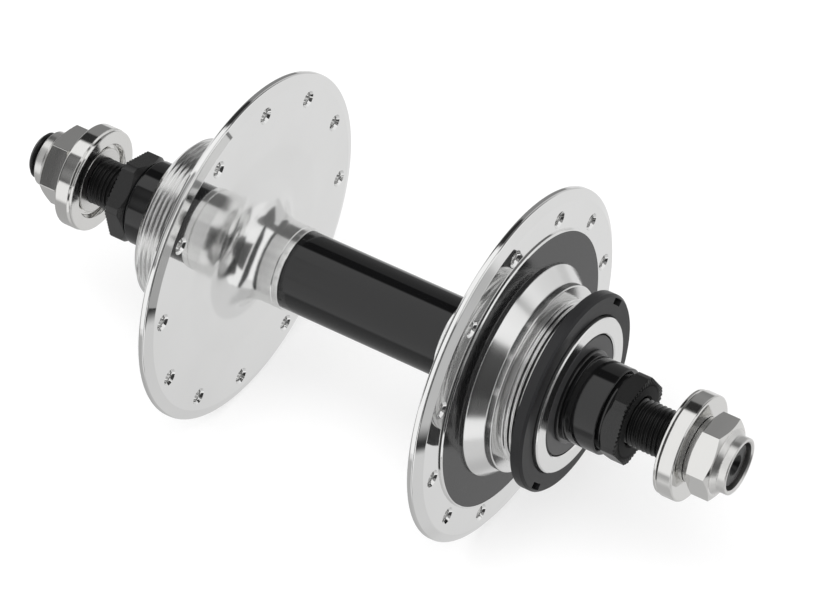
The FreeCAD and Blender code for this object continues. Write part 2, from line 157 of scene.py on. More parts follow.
class Skin:
    """Gathers point grids, joins their common edges and makes one closed mesh of them."""

    def __init__(self):
        self.points, self.quads, self.creases, self.total = [], [], [], 0

    def grid(self, points, round_rows=False, round_columns=True, sharp_rows=None, sharp_edges=()):
        """Quads between neighbouring points of an array of rows by columns by 3.

        sharp_rows flags rows whose ring of edges is a crease. Each of sharp_edges is
        (column, first row, last row), a crease that runs down a column.
        """
        rows, columns = points.shape[:2]
        index = self.total + np.arange(rows * columns).reshape(rows, columns)
        down = np.concatenate([index, index[:1]]) if round_rows else index
        wide = np.concatenate([down, down[:, :1]], 1) if round_columns else down
        quads = np.stack([wide[:-1, :-1], wide[:-1, 1:], wide[1:, 1:], wide[1:, :-1]], -1)
        self.quads.append(quads.reshape(-1, 4))
        if sharp_rows is not None:
            rings = wide[:rows][np.asarray(sharp_rows)]
            self.creases.append(np.stack([rings[:, :-1], rings[:, 1:]], -1).reshape(-1, 2))
        for column, first, last in sharp_edges:
            line = index[first : last + 1, column]
            self.creases.append(np.stack([line[:-1], line[1:]], -1))
        self.points.append(points.reshape(-1, 3))
        self.total += rows * columns

    def mesh(self, name):
        """Welds points in the same thousandth of a millimetre and drops quads with no area."""
        points = np.concatenate(self.points)
        cells = np.floor((points + WELD_SHIFT) / WELD).astype(np.int64)
        _, kept, welded = np.unique(cells, axis=0, return_index=True, return_inverse=True)
        welded = welded.reshape(-1)
        points = points[kept]
        quads = welded[np.concatenate(self.quads)]
        same = quads == np.roll(quads, -1, 1)
        whole = quads[same.sum(1) == 0]
        pinched = quads[same.sum(1) == 1]
        keep = ~same[same.sum(1) == 1]
        triangles = pinched[keep].reshape(-1, 3)
        data = bpy.data.meshes.new(name)
        data.from_pydata((points * MM).tolist(), [], whole.tolist() + triangles.tolist())
        data.polygons.foreach_set("use_smooth", np.ones(len(data.polygons), bool))
        if self.creases:
            pairs = np.sort(welded[np.concatenate(self.creases)], 1)
            edges = np.zeros(len(data.edges) * 2, np.int32)
            data.edges.foreach_get("vertices", edges)
            edges = np.sort(edges.reshape(-1, 2).astype(np.int64), 1)
            size = len(points)
            sharp = np.isin(edges[:, 0] * size + edges[:, 1], pairs[:, 0] * size + pairs[:, 1])
            data.edges.foreach_set("use_edge_sharp", sharp)
        data.validate()
        face_outwards(data)
        return data


def face_outwards(data):
    """Turns every face of a closed mesh outwards."""
    work = bmesh.new()
    work.from_mesh(data)
    bmesh.ops.recalc_face_normals(work, faces=work.faces)
    work.to_mesh(data)
    work.free()


def turned(name, corners, side, count=144):
    """Closed mesh of revolution about the axle, from a closed profile."""
    places, radii, sharp = profile(corners, closed=True)
    skin = Skin()
    angles = even_angles(count)
    skin.grid(about_axle(places[:, None], radii[:, None], angles, side), round_rows=True, sharp_rows=sharp)
    return skin.mesh(name)


def add_piece(name, data, body, nodes, slot):
    """Puts a finished mesh into the scene in place of its CAD nodes."""
    piece = bpy.data.objects.new(name, data)
    bpy.context.scene.collection.objects.link(piece)
    data.materials.append(finish(slot))
    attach(piece, body)
    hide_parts(*nodes)
    return piece


def dress(node, material):
    """Gives a CAD node a finish and keeps its mesh."""
    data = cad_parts[node].data
    data.materials.clear()
    data.materials.append(material)


# Sizes and colours that a user may change


def length(name, description, default, **more):
    """Property that holds a length in metres."""
    return FloatProperty(name=name, description=description, default=default, unit="LENGTH", **more)


def angle_of(name, description, degrees):
    """Property that holds an angle."""
    return FloatProperty(name=name, description=description, default=math.radians(degrees), subtype="ANGLE")


def colour_of(name, description, *colour):
    """Property that holds a linear colour."""
    return FloatVectorProperty(
        name=name, description=description, subtype="COLOR", size=3, default=colour, min=0, max=1
    )


class HubShellSizes(PropertyGroup):
    flange_radius: length("Flange Radius", "Outer radius of both flanges", 0.0377)
    flange_inner: length("Flange Inner Face", "Inner face of a flange from the middle", 0.02985)
    flange_thickness: length("Flange Thickness", "Thickness of a flange", 0.00315)
    spoke_circle: length("Spoke Circle", "Diameter of the circle of spoke holes", 0.0645)
    spoke_hole: length("Spoke Hole", "Diameter of a spoke hole", 0.0026)
    countersink: length("Countersink", "Diameter of a spoke hole's countersink", 0.0037)
    spoke_holes: IntProperty(name="Spoke Holes", description="Spoke holes in each flange", default=12, min=6)
    drive_spoke_angle: angle_of("Drive Spoke Angle", "Angle of the first drive-side hole", 4.5)
    left_spoke_angle: angle_of("Left Spoke Angle", "Angle of the first left hole", 19.5)
    tube_radius: length("Tube Radius", "Radius of the black middle tube", 0.0084)
    thread_radius: length("Cog Thread Radius", "Outer radius of the cog threads", 0.017399)
    thread_pitch: length("Cog Thread Pitch", "Pitch of the cog threads", 0.0254 / 24, precision=5)


class HubAxleSizes(PropertyGroup):
    axle_radius: length("Axle Radius", "Radius of the axle", 0.005)
    axle_pitch: length("Axle Pitch", "Pitch of the axle's thread", 0.001)
    cap_radius: length("Cap Radius", "Radius of the end caps", 0.0091)
    washer_radius: length("Washer Radius", "Radius of the captive washers", 0.01115)
    nut_flats: length("Nut Across Flats", "Axle nuts across their flats", 0.015)
    locknut_flats: length("Locknut Across Flats", "Locknuts across their flats", 0.017)
    locknut_teeth: IntProperty(
        name="Locknut Teeth", description="Teeth round a locknut's face", default=60, min=12
    )


class HubFinishes(PropertyGroup):
    polished: colour_of("Polished Aluminium", "Colour of the shell", 0.87, 0.87, 0.865)
    plated: colour_of("Bright Plate", "Colour of the washers, nuts and bearing balls", 0.79, 0.785, 0.77)
    gloss_black: colour_of("Gloss Black", "Colour of the tube and end caps", 0.004, 0.004, 0.0042)
    satin_black: colour_of("Satin Black", "Colour of the lockring", 0.02, 0.02, 0.021)
    trim: colour_of("Flange Trim", "Colour of the dark ring on the drive flange", 0.008, 0.008, 0.0083)
    cover: colour_of("Dust Covers", "Colour of the discs in the shell's ends", 0.05, 0.05, 0.051)
    steel_black: colour_of("Blackened Steel", "Colour of the axle", 0.005, 0.005, 0.005)
    locknut: colour_of("Locknuts", "Colour of the locknuts", 0.012, 0.012, 0.012)
    bearing: colour_of("Bearing Steel", "Colour of the bearing rings", 0.6, 0.6, 0.61)
    cage: colour_of("Bearing Cages", "Colour of the cages", 0.42, 0.36, 0.24)
    rubber: colour_of("Bearing Seals", "Colour of the seals", 0.02, 0.02, 0.02)


class HubStage(PropertyGroup):
    floor_colour: colour_of("Floor", "Colour of the floor", 0.86, 0.86, 0.86)
    floor_size: length("Floor Size", "Width of the floor", 6.0)
    shadow: FloatProperty(
        name="Shadow", description="Share of the shadow that shows on the floor", default=0.35, min=0, max=1
    )
    sky: FloatProperty(
        name="Sky", description="Strength of the soft light from all round", default=0.55, min=0
    )
    key: FloatProperty(name="Key", description="Power of the large lamp above", default=18.0, min=0)


# Shader helpers


def new_material(name):
    """Empty material with its Principled shader and output; gives its node tree and that shader."""
    material = bpy.data.materials.new(name)
    material.use_nodes = True
    tree = material.node_tree
    tree.nodes.clear()
    output = tree.nodes.new("ShaderNodeOutputMaterial")
    shader = tree.nodes.new("ShaderNodeBsdfPrincipled")
    tree.links.new(shader.outputs["BSDF"], output.inputs["Surface"])
    return material, tree, shader


def math_node(tree, operation, *values):
    """Math node with each value either a number or a socket."""
    node = tree.nodes.new("ShaderNodeMath")
    node.operation = operation
    for socket, value in zip(node.inputs, values):
        if isinstance(value, (int, float)):
            socket.default_value = value
        else:
            tree.links.new(value, socket)
    return node.outputs[0]


def noise_node(tree, place, scale, detail):
    """Noise texture that is read at a place socket."""
    node = tree.nodes.new("ShaderNodeTexNoise")
    node.inputs["Detail"].default_value = detail
    tree.links.new(place, node.inputs["Vector"])
    tree.links.new(scale, node.inputs["Scale"])
    return node


def group_tree(name, inputs, outputs):
    """New shader node group with float inputs (name, default) and named outputs (name, type)."""
    tree = bpy.data.node_groups.new(name, "ShaderNodeTree")
    for label, value in inputs:
        tree.interface.new_socket(label, in_out="INPUT", socket_type="NodeSocketFloat").default_value = value
    for label, kind in outputs:
        tree.interface.new_socket(label, in_out="OUTPUT", socket_type=kind)
    return tree, tree.nodes.new("NodeGroupInput"), tree.nodes.new("NodeGroupOutput")


def lathe_marks_group():
    """Fine rings left by turning: noise read along radius and place only, so it runs round the axle.

    Hub Roughness is added inside the Hub Radius from the axle, in metres, and fades out over the
    last tenth of it.
    """
    tree, given, out = group_tree(
        "lathe_marks",
        [
            ("Scale", 900.0),
            ("Base Roughness", 0.05),
            ("Spread", 0.03),
            ("Hub Roughness", 0.0),
            ("Hub Radius", 0.024),
        ],
        [("Roughness", "NodeSocketFloat"), ("Height", "NodeSocketFloat")],
    )
    place = tree.nodes.new("ShaderNodeTexCoord")
    parts = tree.nodes.new("ShaderNodeSeparateXYZ")
    tree.links.new(place.outputs["Object"], parts.inputs[0])
    across = math_node(tree, "MULTIPLY", parts.outputs["X"], parts.outputs["X"])
    up = math_node(tree, "MULTIPLY", parts.outputs["Z"], parts.outputs["Z"])
    radius = math_node(tree, "SQRT", math_node(tree, "ADD", across, up))
    joined = tree.nodes.new("ShaderNodeCombineXYZ")
    tree.links.new(radius, joined.inputs["X"])
    tree.links.new(parts.outputs["Y"], joined.inputs["Y"])
    noise = noise_node(tree, joined.outputs[0], given.outputs["Scale"], 3.0)
    centred = math_node(tree, "SUBTRACT", noise.outputs["Fac"], 0.5)
    spread = math_node(tree, "MULTIPLY", centred, given.outputs["Spread"])
    near = tree.nodes.new("ShaderNodeMapRange")
    near.interpolation_type = "SMOOTHSTEP"
    near.inputs["From Min"].default_value = 1.0
    near.inputs["From Max"].default_value = 0.9
    tree.links.new(math_node(tree, "DIVIDE", radius, given.outputs["Hub Radius"]), near.inputs["Value"])
    middle = math_node(tree, "MULTIPLY", near.outputs["Result"], given.outputs["Hub Roughness"])
    base = math_node(tree, "ADD", middle, given.outputs["Base Roughness"])
    tree.links.new(math_node(tree, "ADD", spread, base), out.inputs["Roughness"])
    tree.links.new(noise.outputs["Fac"], out.inputs["Height"])
    return tree


def handling_group():
    """Faint smudges and specks: a soft large noise and a fine one, as a mask from 0 to 1."""
    tree, given, out = group_tree(
        "handling",
        [("Scale", 60.0), ("Amount", 0.5)],
        [("Mask", "NodeSocketFloat"), ("Speck", "NodeSocketFloat")],
    )
    place = tree.nodes.new("ShaderNodeTexCoord")
    smudge = noise_node(tree, place.outputs["Object"], given.outputs["Scale"], 4.0)
    smudge.inputs["Roughness"].default_value = 0.55
    fine_scale = math_node(tree, "MULTIPLY", given.outputs["Scale"], 60.0)
    fine = noise_node(tree, place.outputs["Object"], fine_scale, 2.0)
    raised = math_node(tree, "MULTIPLY", math_node(tree, "SUBTRACT", smudge.outputs["Fac"], 0.35), 2.2)
    clamped = math_node(tree, "MINIMUM", math_node(tree, "MAXIMUM", raised, 0.0), 1.0)
    tree.links.new(math_node(tree, "MULTIPLY", clamped, given.outputs["Amount"]), out.inputs["Mask"])
    tree.links.new(fine.outputs["Fac"], out.inputs["Speck"])
    return tree


def use_group(tree, name, maker, **values):
    """Places a group in a material with its own values. The group is made on first use and shared."""
    node = tree.nodes.new("ShaderNodeGroup")
    node.node_tree = bpy.data.node_groups.get(name) or maker()
    for label, value in values.items():
        node.inputs[label.replace("_", " ")].default_value = value
    return node


def mirror_rays(tree, path):
    """1 on rays that a mirror or glass sends on, and 0 on all others."""
    return math_node(tree, "MAXIMUM", path.outputs["Is Glossy Ray"], path.outputs["Is Transmission Ray"])


def tinted(tree, colour, mask, share):
    """Colour socket that darkens the given colour by a share where the mask is 1."""
    mix = tree.nodes.new("ShaderNodeMix")
    mix.data_type = "RGBA"
    mix.inputs["A"].default_value = (*colour, 1)
    mix.inputs["B"].default_value = (*[c * (1 - share) for c in colour], 1)
    tree.links.new(mask, mix.inputs["Factor"])
    return mix.outputs["Result"]


FINISHES = {
    "polished_aluminium": dict(
        colour="polished", metal=1.0, rough=0.04, spread=0.02, rings=700, bump=0.02, hub_rough=0.12,
    ),
    "plain_aluminium": dict(colour="polished", metal=1.0, rough=0.3, spread=0.1, rings=900, bump=0.6),
    "black_gloss_tube": dict(
        colour="gloss_black", rough=0.05, spread=0.03, rings=400, speck=0.05, shine=0.55,
    ),
    "black_gloss_cap": dict(
        colour="gloss_black", rough=0.06, spread=0.04, rings=500, speck=0.04, shine=0.6,
    ),
    "black_trim": dict(colour="trim", rough=0.12, spread=0.04, rings=900, bump=0.1, speck=0.05, shine=0.4),
    "black_lockring": dict(
        colour="satin_black", rough=0.32, spread=0.08, rings=900, bump=0.3, speck=0.5, smudge=0.15,
        shine=0.14,
    ),
    "grey_cover": dict(colour="cover", rough=0.3, spread=0.06, rings=900, bump=0.2, speck=0.2, shine=0.3),
    "black_axle_steel": dict(
        colour="steel_black", rough=0.22, spread=0.1, rings=900, bump=0.2, speck=0.3, smudge=0.2,
        shine=0.3,
    ),
    "black_locknut": dict(
        colour="locknut", rough=0.25, spread=0.08, rings=900, bump=0.1, speck=0.4, smudge=0.2,
        shine=0.5, hub_rough=0.5, hub_radius=0.0083,
    ),
    "bright_washer": dict(colour="plated", metal=1.0, rough=0.09, spread=0.05, rings=800, bump=0.1),
    "bright_nut": dict(
        colour="plated", metal=1.0, rough=0.06, spread=0.05, rings=500, bump=0.05, speck=0.1,
        hub_rough=0.22, hub_radius=0.0074,
    ),
    "bearing_steel": dict(colour="bearing", metal=1.0, rough=0.18, spread=0.08, rings=900, bump=0.2),
    "bearing_balls": dict(colour="plated", metal=1.0, rough=0.03, spread=0.01, rings=900),
    "cage_plastic": dict(colour="cage", rough=0.45, spread=0.1, rings=200, bump=0.2, speck=0.4, shine=0.5),
    "seal_rubber": dict(colour="rubber", rough=0.6, spread=0.1, rings=300, bump=0.2, speck=0.6, shine=0.4),
}


def finish(name):
    """The named finish, made on first use.

    Roughness is a base value plus lathe rings, the colour is darkened a little by handling, and
    the bump adds the height of the rings to that of the coating's fine speckle.
    """
    label = "hub_" + name
    if label in bpy.data.materials:
        return bpy.data.materials[label]
    look = FINISHES[name]
    colour = tuple(getattr(bpy.context.scene.hub_finishes, look["colour"]))
    material, tree, shader = new_material(label)
    spread = look["spread"]
    rings = use_group(
        tree, "lathe_marks", lathe_marks_group,
        Scale=look["rings"], Base_Roughness=look["rough"], Spread=spread,
        Hub_Roughness=look.get("hub_rough", 0.0), Hub_Radius=look.get("hub_radius", 0.024),
    )
    hands = use_group(tree, "handling", handling_group, Scale=55.0, Amount=1.0)
    shade = tinted(tree, colour, hands.outputs["Mask"], look.get("smudge", 0.04))
    tree.links.new(shade, shader.inputs["Base Color"])
    worn = math_node(tree, "MULTIPLY_ADD", hands.outputs["Mask"], spread * 0.6, rings.outputs["Roughness"])
    tree.links.new(worn, shader.inputs["Roughness"])
    shader.inputs["Metallic"].default_value = look.get("metal", 0.0)
    shader.inputs["Specular IOR Level"].default_value = look.get("shine", 0.5)
    speckle = math_node(tree, "MULTIPLY", hands.outputs["Speck"], look.get("speck", 0.0))
    height = math_node(tree, "MULTIPLY_ADD", rings.outputs["Height"], look.get("bump", 0.0), speckle)
    relief = tree.nodes.new("ShaderNodeBump")
    relief.inputs["Strength"].default_value = 1.0
    relief.inputs["Distance"].default_value = 0.00001
    tree.links.new(height, relief.inputs["Height"])
    tree.links.new(relief.outputs["Normal"], shader.inputs["Normal"])
    return material


# The shell


COLLAR = {"radius": 8.8, "end": 18.4, "line": 19.8, "line_size": 0.15}
FLARE = 7.0
RIM = {"inner_width": 0.75, "inner_depth": 2.3, "outer_width": 1.2, "outer_depth": 2.0, "round": 0.5}
PAD = {"radius": 29.75, "height": 0.5, "bevel": 0.25}
TRIM = {"outer": 29.3, "inner": 22.55, "thickness": 0.3, "gap": 0.02}
BOSS = {"cone": 34.0, "foot": 22.55, "top": 37.0, "radius": 19.85, "shoulder": 38.6, "round": 0.25}
THREAD = {"start": 39.3, "drive": 43.45, "left": 46.45, "relief": 0.7, "depth": 0.5}
LOCKRING_THREAD = 16.5
SHELL_END = {"drive": 46.95, "left": 47.65}
LEFT_END_RADIUS = 16.15
TUBE_SOCKET = {"play": 0.01, "end": 27.0, "stop_end": 31.0, "stop_radius": 7.1}
BEARING_SEAT = {"lip": 11.0, "from": 37.0, "radius": 13.01, "chamfer": 0.25}
BAND = (30.1, 34.3)
SECTOR_STEPS = 20
SIDE_STEPS = 6


def shell_ends(side_name, sizes):
    """Profile from the hole band's inner edge on the inner face round to the same edge on the outer face.

    The hollow flare is two equal rounds, on corners that lie 1 - tan(22.5 degrees) of its radius
    from the foot.
    """
    reach = FLARE * (1 - math.tan(math.pi / 8))
    inner = sizes.flange_inner / MM
    outer = inner + sizes.flange_thickness / MM
    end = SHELL_END[side_name]
    thread = sizes.thread_radius / MM
    line = COLLAR["line_size"]
    socket = sizes.tube_radius / MM + TUBE_SOCKET["play"]
    start = [
        (inner, BAND[0]),
        (inner, COLLAR["radius"] + reach, FLARE),
        (inner - reach, COLLAR["radius"], FLARE),
        (COLLAR["line"] + line, COLLAR["radius"]),
        (COLLAR["line"], COLLAR["radius"] - line),
        (COLLAR["line"] - line, COLLAR["radius"]),
        (COLLAR["end"], COLLAR["radius"], 0.2),
        (COLLAR["end"], socket),
        (TUBE_SOCKET["end"], socket),
        (TUBE_SOCKET["end"], TUBE_SOCKET["stop_radius"]),
        (TUBE_SOCKET["stop_end"], TUBE_SOCKET["stop_radius"]),
        (TUBE_SOCKET["stop_end"], BEARING_SEAT["lip"]),
        (BEARING_SEAT["from"], BEARING_SEAT["lip"]),
        (BEARING_SEAT["from"], BEARING_SEAT["radius"]),
        (end - BEARING_SEAT["chamfer"], BEARING_SEAT["radius"]),
        (end, BEARING_SEAT["radius"] + BEARING_SEAT["chamfer"]),
    ]
    if side_name == "drive":
        start += [
            (end, LOCKRING_THREAD - 0.25, 0.1),
            (end - 0.25, LOCKRING_THREAD, 0.1),
            (THREAD["drive"], LOCKRING_THREAD),
            (THREAD["drive"], thread),
        ]
    else:
        start += [(end, LEFT_END_RADIUS, 0.3), (THREAD["left"] + 0.05, thread, 0.1), (THREAD["left"], thread)]
    rest = [
        (THREAD["start"], thread),
        (THREAD["start"] - THREAD["relief"] / 2, thread - THREAD["relief"]),
        (BOSS["shoulder"], thread - THREAD["relief"]),
        (BOSS["shoulder"], BOSS["radius"], BOSS["round"]),
        (BOSS["top"], BOSS["radius"], BOSS["round"]),
        (BOSS["cone"], BOSS["foot"], BOSS["round"]),
    ]
    if side_name == "drive":
        pad = outer + PAD["height"]
        rest += [
            (pad - TRIM["thickness"], BOSS["foot"]),
            (pad - TRIM["thickness"], TRIM["outer"] + TRIM["gap"]),
            (pad, TRIM["outer"] + TRIM["gap"]),
            (pad, PAD["radius"] - PAD["bevel"], 0.08),
            (pad - PAD["bevel"], PAD["radius"], 0.08),
            (outer, PAD["radius"]),
        ]
    else:
        rest += [(outer, BOSS["foot"])]
    rest += [(outer, BAND[0])]
    return start, rest


def spoke_band(skin, side_name, sizes, first_angle):
    """Flat band with the spoke holes on both faces of a flange, and the holes' walls.

    Each hole has a sector of the band. A ring of points round the hole is joined to as many
    points round the sector's outline, and the wall is the hole's profile carried round the ring.
    """
    side = SIDES[side_name]
    inner = sizes.flange_inner / MM
    outer = inner + sizes.flange_thickness / MM
    count = sizes.spoke_holes
    centre_radius = sizes.spoke_circle / MM / 2
    hole, sink = sizes.spoke_hole / MM / 2, sizes.countersink / MM / 2
    half = math.pi / count
    along = np.linspace(-half, half, SECTOR_STEPS + 1)
    up = np.linspace(BAND[0], BAND[1], SIDE_STEPS + 1)
    turn = np.concatenate([along[:-1], np.full(SIDE_STEPS, half), along[:0:-1], np.full(SIDE_STEPS, -half)])
    reach = np.concatenate(
        [np.full(SECTOR_STEPS, BAND[0]), up[:-1], np.full(SECTOR_STEPS, BAND[1]), up[:0:-1]]
    )
    points = len(turn)
    ring = -math.pi / 2 + 2 * math.pi * (np.arange(points) - SECTOR_STEPS / 2) / points
    places, radii, sharp = profile(
        [(inner, sink), (inner + sink - hole, hole, 0.5), (outer - sink + hole, hole, 0.5), (outer, sink)]
    )
    sharp[[0, -1]] = True
    for i in range(count):
        middle = math.radians(first_angle) + 2 * half * i
        outward = np.array([-math.sin(middle), math.cos(middle)])
        onward = np.array([-math.cos(middle), -math.sin(middle)])
        circle = np.cos(ring)[:, None] * onward + np.sin(ring)[:, None] * outward
        wall = centre_radius * outward + radii[:, None, None] * circle
        depth = np.broadcast_to(side * places[:, None], wall.shape[:2])
        tube = np.stack([wall[..., 0], depth, wall[..., 1]], -1)
        skin.grid(tube, sharp_rows=sharp)
        for place, edge in ((inner, tube[0]), (outer, tube[-1])):
            outline = about_axle(place, reach, middle + turn, side)
            skin.grid(np.stack([edge, outline]))


def flange_mesh(side_name, sizes):
    """Half of the shell: flange, flare, collar, boss and thread, with its spoke holes."""
    side = SIDES[side_name]
    first = math.degrees(getattr(sizes, side_name + "_spoke_angle"))
    count = SECTOR_STEPS * sizes.spoke_holes
    angles = even_angles(count, first - 180 / sizes.spoke_holes)
    thread = screw(
        THREAD[side_name],
        THREAD["start"],
        sizes.thread_radius / MM,
        angles,
        sizes.thread_pitch / MM,
        THREAD["depth"],
        0.92 * sizes.thread_pitch / MM,
    )
    start, rest = shell_ends(side_name, sizes)
    body = stacked([profile(start), thread, profile(rest)], count)
    inner = sizes.flange_inner / MM
    outer = inner + sizes.flange_thickness / MM
    radius = sizes.flange_radius / MM
    rim = profile(
        [
            (inner, BAND[1]),
            (inner, radius - RIM["inner_depth"], RIM["round"]),
            (inner + RIM["inner_width"], radius, RIM["round"]),
            (outer - RIM["outer_width"], radius, RIM["round"]),
            (outer, radius - RIM["outer_depth"], RIM["round"]),
            (outer, BAND[1]),
        ]
    )
    skin = Skin()
    skin.grid(about_axle(body[0], body[1], angles, side), sharp_rows=body[2])
    skin.grid(about_axle(rim[0][:, None], rim[1][:, None], angles, side), sharp_rows=rim[2])
    spoke_band(skin, side_name, sizes, first)
    return skin.mesh(side_name + "_flange_skin")


class HUB_OT_flanges(Operator):
    """Both halves of the polished shell, with their spoke holes and cog threads"""

    bl_idname = "hub.flanges"
    bl_label = "Flanges"

    def execute(self, context):
        for side_name in SIDES:
            data = flange_mesh(side_name, context.scene.hub_shell)
            node = side_name + "_flange"
            add_piece(side_name + "_shell_half", data, "shell", [node], "polished_aluminium")
        return {"FINISHED"}


class HUB_OT_tube(Operator):
    """The black middle tube between the collars"""

    bl_idname = "hub.tube"
    bl_label = "Centre Tube"

    def execute(self, context):
        radius = context.scene.hub_shell.tube_radius / MM
        corners = [(-27.0, radius - 1.3), (-27.0, radius, 0.1), (27.0, radius, 0.1), (27.0, radius - 1.3)]
        add_piece(
            "middle_tube", turned("middle_tube", corners, 1), "shell", ["centre_tube"], "black_gloss_tube",
        )
        return {"FINISHED"}


class HUB_OT_trim(Operator):
    """The thin dark ring let into the drive flange's pad"""

    bl_idname = "hub.trim"
    bl_label = "Flange Trim"

    def execute(self, context):
        sizes = context.scene.hub_shell
        face = (sizes.flange_inner + sizes.flange_thickness) / MM + PAD["height"]
        back, front = face - TRIM["thickness"], face - TRIM["gap"]
        inner, outer = TRIM["inner"] + TRIM["gap"], TRIM["outer"]
        corners = [(back, inner), (back, outer), (front, outer, 0.06), (front, inner, 0.06)]
        data = turned("flange_trim", corners, SIDES["drive"], 240)
        add_piece("flange_trim", data, "shell", ["flange_trim_ring"], "black_trim")
        return {"FINISHED"}


LOCKRING = {"back": 43.5, "front": 46.05, "radius": 21.0, "bore": 16.55, "chamfer": 0.5, "bore_chamfer": 0.35}
SLOT = {"angle": 130.9, "count": 2, "width": 3.8, "inner": 19.0, "outer": 20.35, "depth": 1.5}


class HUB_OT_lockring(Operator):
    """The lockring, with two blind slots for a spanner"""

    bl_idname = "hub.lockring"
    bl_label = "Lockring"

    def execute(self, context):
        """The face is a grid of rings and columns, doubled along each slot's edges.

        It sinks where ring and column both lie in a slot.
        """
        ring = LOCKRING
        face = [(ring["front"], ring["bore"] + ring["bore_chamfer"], 0.08), (ring["front"], SLOT["inner"])]
        back = [
            (ring["front"], SLOT["outer"]),
            (ring["front"], ring["radius"] - ring["chamfer"], 0.12),
            (ring["front"] - ring["chamfer"], ring["radius"], 0.12),
            (ring["back"], ring["radius"], 0.25),
            (ring["back"], ring["bore"]),
            (ring["front"] - ring["bore_chamfer"], ring["bore"]),
            (ring["front"] - ring["bore_chamfer"] / 2, ring["bore"] + ring["bore_chamfer"] / 2),
        ]
        first, second = profile([back[-1]] + face), profile(back)
        half = math.degrees(SLOT["width"] / 2 / (SLOT["inner"] + SLOT["outer"]) * 2)
        edges = np.array([SLOT["angle"] + 360 / SLOT["count"] * i for i in range(SLOT["count"])])
        plain = np.arange(0, 360, 2.0)
        apart = np.abs((plain[:, None] - edges + 180) % 360 - 180).min(1)
        angles = [plain[np.abs(apart - half) > 0.4]]
        angles += [edges - half, edges - half + 1e-7, edges + half - 1e-7, edges + half]
        angles = np.sort(np.concatenate(angles) % 360)
        in_slot = (np.abs((angles[:, None] - edges + 180) % 360 - 180).min(1) < half - 5e-8).astype(float)
        inner = (np.full(2, ring["front"]), np.full(2, SLOT["inner"]), np.array([True, True]))
        outer = (np.full(2, ring["front"]), np.full(2, SLOT["outer"]), np.array([True, True]))
        parts = [(first[0][1:-1], first[1][1:-1], first[2][1:-1]), inner, outer, tuple(v[1:] for v in second)]
        places, radii, sharp = stacked(parts, len(angles))
        places = places.copy()
        sunk = len(parts[0][0]) + 1
        places[sunk : sunk + 2] -= SLOT["depth"] * in_slot
        slot_edges = np.flatnonzero(np.diff(in_slot, append=in_slot[:1]) != 0)
        walls = [(int(c), sunk - 1, sunk + 2) for c in slot_edges]
        walls += [((c + 1) % len(angles), a, b) for c, a, b in walls]
        skin = Skin()
        grid = about_axle(places, radii, np.radians(angles), SIDES["drive"])
        skin.grid(grid, round_rows=True, sharp_rows=sharp, sharp_edges=walls)
        add_piece(
            "cog_lockring", skin.mesh("cog_lockring"), "cog_lockring", ["lockring"], "black_lockring",
        )
        return {"FINISHED"}


# The axle and what is on it


AXLE_END = {"drive": 81.6, "left": 82.2}
COVER = {"outer": 46.8, "thickness": 1.3, "radius": 12.75, "seat": 7.41}
CAP = {
    "flange": 9.9, "flange_end": 47.6, "line": 48.3, "line_size": 0.12, "neck": 8.0, "neck_at": 55.25,
    "end": 56.0,
}
LOCKNUT = {
    "back": 56.0, "face": 60.0, "corner": 9.4, "face_radius": 9.25, "face_chamfer": 0.15,
    "back_radius": 8.35, "back_chamfer": 1.0, "bore": 5.05, "bore_chamfer": 0.5, "teeth_from": 7.5,
    "tooth_depth": 0.28, "tooth_width": 0.56,
}
LOCKNUT_ANGLE = {"drive": 33.1, "left": 10.0}
WASHER_AT = {"drive": 69.5, "left": 66.9}
WASHER = {
    "thickness": 4.2, "lip": 10.95, "lip_width": 0.55, "line": 0.15, "bore": 6.3, "recess": 8.2,
    "depth": 1.3,
}
NUT = {
    "flare_at": 0.45, "flare": 7.0, "flare_width": 0.55, "neck": 6.15, "play": 0.12, "collar": 6.9,
    "collar_width": 1.0, "hex_length": 4.8, "corner": 8.62, "face_radius": 7.3, "chamfer": 0.55,
    "cone": 1.1, "boss": 5.95, "boss_length": 1.8, "bore": 5.05, "bore_chamfer": 0.3,
}
NUT_ANGLE = {"drive": 17.9, "left": 22.8}


def hexagon_radii(angles, flats, corner, angle):
    """Radius of a hexagonal bar at each angle: half the flats over the cosine, up to the turned corner."""
    from_flat = (np.degrees(angles) - angle) % 60 - 30
    return np.minimum(flats / 2 / np.cos(np.radians(from_flat)), corner)


def hexagon_angles(flats, corner, angle, along):
    """Angles of the columns round a hexagonal bar: evenly along each flat and close beside each corner."""
    half = math.acos(flats / 2 / corner)
    reach = math.tan(half) * np.linspace(-1, 1, along)
    flat = np.arctan(reach)
    close = 0.02 * half
    flat = np.concatenate([flat[:1], flat[:1] + close, flat[1:-1], flat[-1:] - close, flat[-1:]])
    turn = np.concatenate([flat, [math.pi / 6]])
    starts = math.radians(angle + 30) + np.arange(6) * math.pi / 3
    return (starts[:, None] + turn).reshape(-1)


